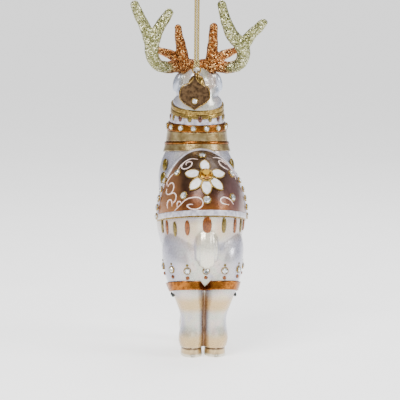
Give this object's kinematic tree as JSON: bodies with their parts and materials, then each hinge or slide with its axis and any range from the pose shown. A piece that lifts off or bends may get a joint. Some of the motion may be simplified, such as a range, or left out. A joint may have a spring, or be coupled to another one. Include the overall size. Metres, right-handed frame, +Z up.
{
  "type": "hanging reindeer ornament",
  "caption": "Hanging blown-glass reindeer ornament with a jewelled collar and saddle blanket, glitter antlers, a gold cord loop and a swinging brass tag.",
  "frame": {"origin": "inside of the cord loop's top bend, where a hook or twig carries it", "axes": "+Z up, +Y the way the reindeer looks, +X to the animal's right-hand side as seen from behind"},
  "size_m": [0.0665, 0.0849, 0.1821],
  "materials": {
    "pearl_glass": "pearl lacquer over silvered blown glass",
    "antler_glitter": "champagne and copper glitter over glass",
    "hoof_gold": "champagne gold lacquer with a pale sole rim",
    "black_gloss": "gloss",
    "gold_cord": "metallic gold twisted cord",
    "brass_wire": "polished",
    "cap_gold": "polished, embossed with scrolls",
    "tag_brass": "antiqued with a bright rim",
    "clear_crystal": "faceted, foil backed",
    "amber_crystal": "faceted amber, foil backed",
    "satin_champagne": "satin lacquer",
    "copper_paint": "glossy copper lacquer",
    "lilac_enamel": "soft lilac white enamel",
    "white_enamel": "gloss white enamel",
    "gold_paint": "metallic gold",
    "brown_drop": "gloss raised drops",
    "olive_drop": "gloss raised drops",
    "copper_drop": "gloss raised drops",
    "chocolate_copper": "gloss lacquer shading from chocolate to copper"
  },
  "bodies": {
    "hanger": {"cord_loop": "gold_cord", "cord_hitch": "gold_cord", "jump_ring": "brass_wire"},
    "ornament": {"glass_body": "pearl_glass", "hooves": "hoof_gold", "eyes": "black_gloss", "nose": "black_gloss", "left_antler": "antler_glitter", "right_antler": "antler_glitter", "ornament_cap": "cap_gold", "cap_wire": "brass_wire", "neck_base_band": "satin_champagne", "neck_copper_line": "copper_paint", "neck_satin_band": "satin_champagne", "collar_copper_band": "copper_paint", "collar_enamel_band": "lilac_enamel", "collar_lower_rim": "gold_paint", "collar_upper_rim": "gold_paint", "collar_stones": "clear_crystal", "collar_settings": "gold_paint", "collar_brown_drops": "brown_drop", "collar_olive_drops": "olive_drop", "blanket_panel": "chocolate_copper", "blanket_border": "lilac_enamel", "blanket_piping": "gold_paint", "flower_casting": "gold_paint", "flower_petals": "white_enamel", "flower_amber": "amber_crystal", "blanket_stones": "clear_crystal", "blanket_settings": "gold_paint", "trim_stones": "clear_crystal", "trim_settings": "gold_paint", "fringe_copper_drops": "copper_drop", "fringe_olive_drops": "olive_drop", "shoulder_drops": "olive_drop", "hem_stones": "clear_crystal", "hem_settings": "gold_paint", "hem_olive_beads": "olive_drop", "hem_copper_dots": "copper_drop", "hind_garter": "copper_paint", "front_garter": "copper_paint", "garter_beads": "clear_crystal"},
    "tag": {"hang_tag": "tag_brass", "tag_gem": "clear_crystal", "tag_setting": "brass_wire"}
  },
  "joints": [
    {"name": "ornament_swing", "type": "hinge", "parent": "hanger", "child": "ornament", "pos_m": [0, 0, -0.04782], "axis": [1, 0, 0], "range_deg": [-20, 20]},
    {"name": "tag_swing", "type": "hinge", "parent": "ornament", "child": "tag", "pos_m": [0, 0, -0.04782], "axis": [1, 0, 0], "range_deg": [-75, 4]}
  ]
}
